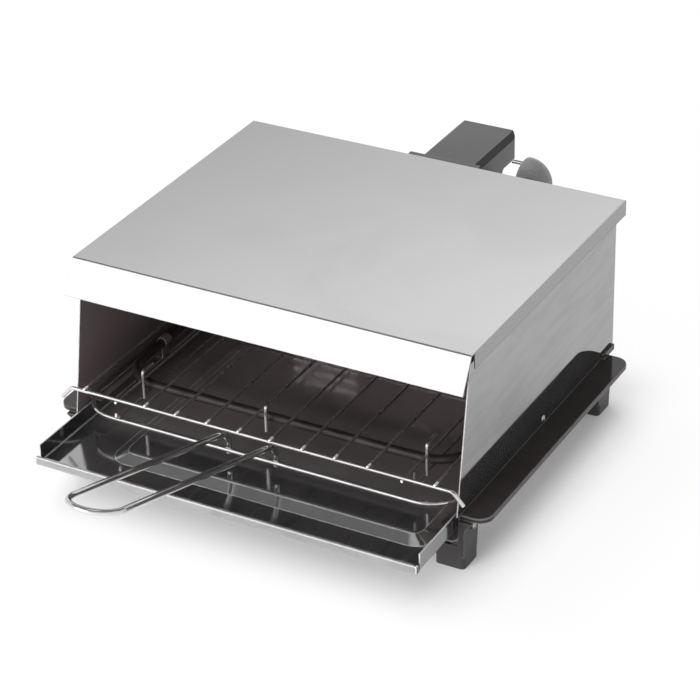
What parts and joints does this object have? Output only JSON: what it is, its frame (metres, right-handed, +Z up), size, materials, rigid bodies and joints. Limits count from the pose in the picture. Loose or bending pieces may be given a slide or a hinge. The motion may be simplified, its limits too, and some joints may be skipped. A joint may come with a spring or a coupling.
{
  "type": "raclette_grill",
  "caption": "Open-front raclette grill with a steel hood on a black enamelled pan, a wire rack with a hooked handle, a sliding drip tray and a regulator knob at the back",
  "frame": {"origin": "on the table plane, below the middle of the whole grill with its handle and terminal box", "axes": "+X to the grill's right, +Y from the open front to the back, +Z up from the table"},
  "size_m": [0.332, 0.5278, 0.154],
  "materials": {
    "black_enamel": "glossy black vitreous enamel",
    "black_plastic": "black heat-proof plastic",
    "polished_steel": "polished stainless sheet",
    "side_steel": "stainless sheet, satin",
    "tray_steel": "polished stainless sheet",
    "zinc_sheet": "zinc-coated sheet",
    "zinc_screw": "zinc-coated steel",
    "chromed_wire": "bright chromed wire",
    "heater_tube": "dull sheathed heating tube",
    "ceramic": "unglazed ceramic",
    "reflector_sheet": "bright aluminised sheet",
    "brass_part": "plain brass",
    "lead_sleeve": "woven glass sleeve",
    "grey_plastic": "mid-grey plastic"
  },
  "bodies": {
    "base": {"base_pan": "black_enamel", "foot_front_left": "black_plastic", "foot_front_right": "black_plastic", "foot_rear_left": "black_plastic", "foot_rear_right": "black_plastic", "foot_screws": "zinc_screw", "tray_runner_left": "zinc_sheet", "tray_runner_right": "zinc_sheet", "hood_top": "polished_steel", "hood_side_left": "side_steel", "hood_side_right": "side_steel", "hood_back": "zinc_sheet", "hood_screws": "zinc_screw", "rack_ledge_left": "zinc_sheet", "rack_ledge_right": "zinc_sheet", "lower_heater": "heater_tube", "upper_heater": "heater_tube", "upper_heater_stays": "zinc_sheet", "lower_heater_brackets": "zinc_sheet", "lower_heater_bushes": "ceramic", "upper_heater_bushes": "ceramic", "heat_reflector": "reflector_sheet", "terminal_box": "black_plastic", "wiring_duct": "zinc_sheet", "back_screws": "zinc_screw", "terminal_block": "ceramic", "terminal_screws": "brass_part", "regulator": "black_plastic", "thermal_fuse": "brass_part", "internal_leads": "lead_sleeve", "cord_gland": "black_plastic"},
    "tray": {"drip_tray": "tray_steel"},
    "rack": {"rack_front_bar": "chromed_wire", "rack_rear_bar": "chromed_wire", "rack_rods": "chromed_wire", "rack_side_wires": "chromed_wire", "rack_legs": "chromed_wire", "rack_lower_loop": "chromed_wire"},
    "handle": {"rack_handle": "chromed_wire"},
    "knob": {"regulator_knob": "grey_plastic", "knob_shaft": "zinc_screw", "knob_stop_pin": "zinc_screw"}
  },
  "joints": [
    {"name": "tray_slide", "type": "slide", "parent": "base", "child": "tray", "axis": [0, -1, 0], "range_m": [-0.045, 0.12]},
    {"name": "rack_slide", "type": "slide", "parent": "base", "child": "rack", "axis": [0, -1, 0], "range_m": [0, 0.14]},
    {"name": "handle_tilt", "type": "hinge", "parent": "rack", "child": "handle", "pos_m": [0, -0.07114, 0.0456], "axis": [1, 0, 0], "range_deg": [0, 10]},
    {"name": "knob_turn", "type": "hinge", "parent": "base", "child": "knob", "pos_m": [0.054, 0.22506, 0.1296], "axis": [1, 0, 0], "range_deg": [0, 270]}
  ]
}
